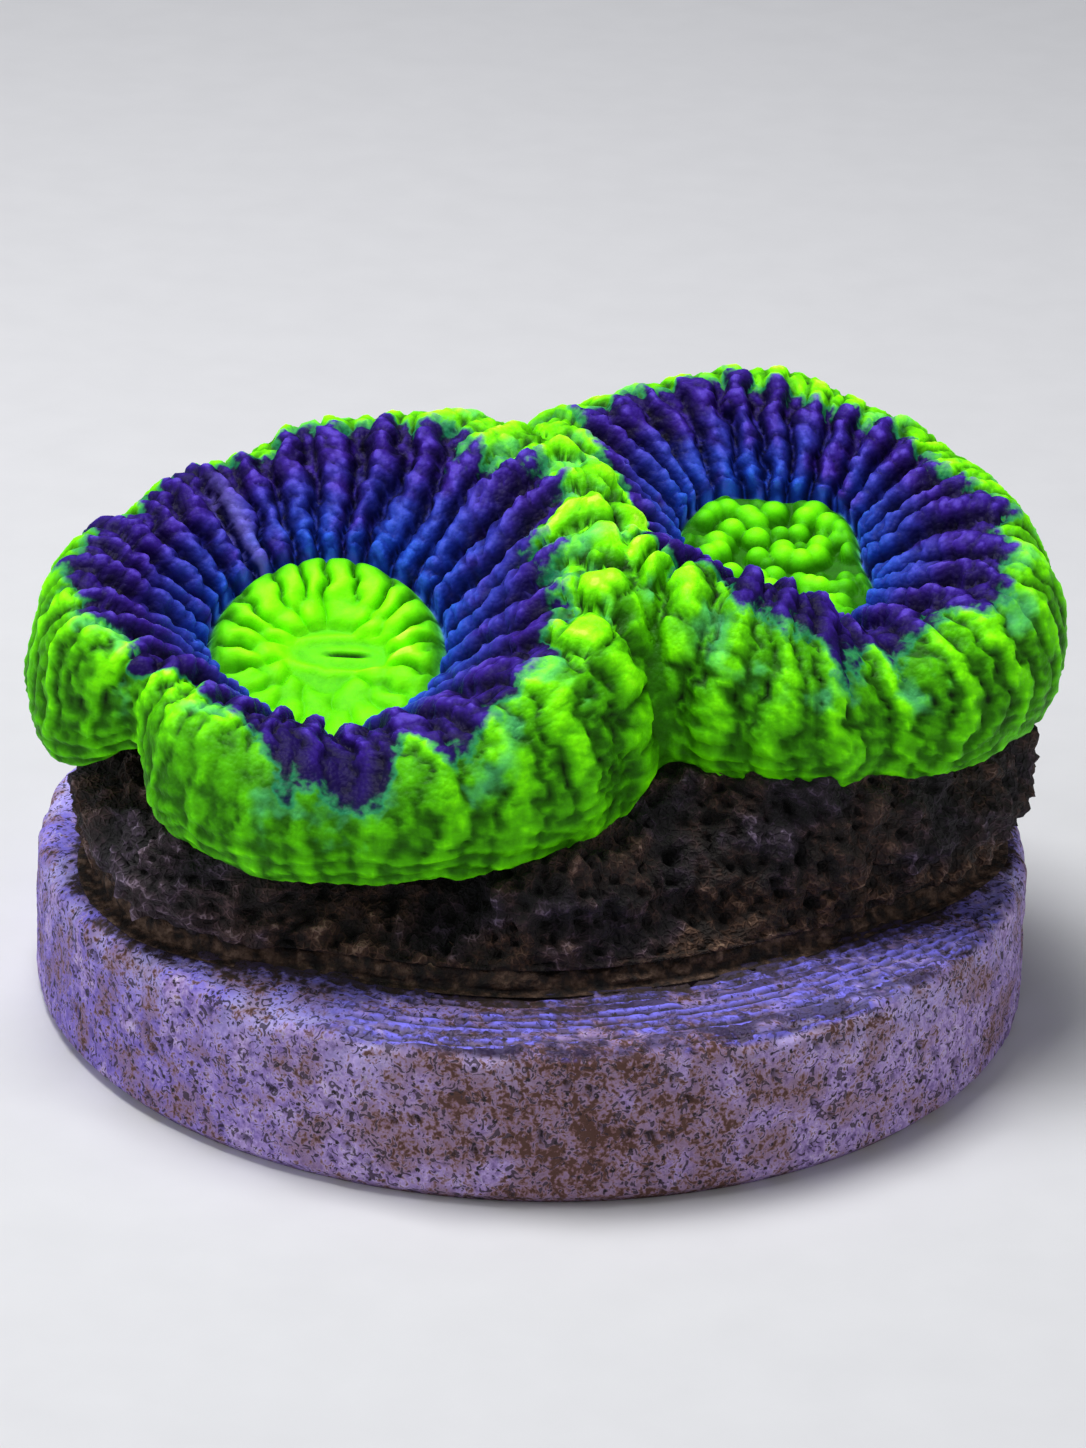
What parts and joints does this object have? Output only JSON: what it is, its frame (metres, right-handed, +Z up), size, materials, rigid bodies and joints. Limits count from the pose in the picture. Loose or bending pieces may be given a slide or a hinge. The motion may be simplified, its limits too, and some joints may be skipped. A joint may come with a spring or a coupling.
{
  "type": "brain coral on a frag disc",
  "caption": "Live brain coral with two fleshy bowl-shaped polyps on its own skeleton, glued to a round ceramic frag disc that rests flat.",
  "frame": {"origin": "centre of the disc's flat underside", "axes": "+Z up, square to the disc; +X towards the higher polyp along the colony's length; -Y is the front, where the lower polyp leans out"},
  "size_m": [0.0254, 0.025, 0.0138],
  "materials": {
    "coral_tissue": "moist soft tissue, folded and beaded, fluorescent green with indigo bowls",
    "set_glue": "set gel glue under a brown film of algae",
    "disc_ceramic": "unglazed, pitted, stained brown in patches"
  },
  "bodies": {
    "root": {"coral": "coral_tissue", "glue_bed": "set_glue", "frag_disc": "disc_ceramic"}
  },
  "joints": []
}
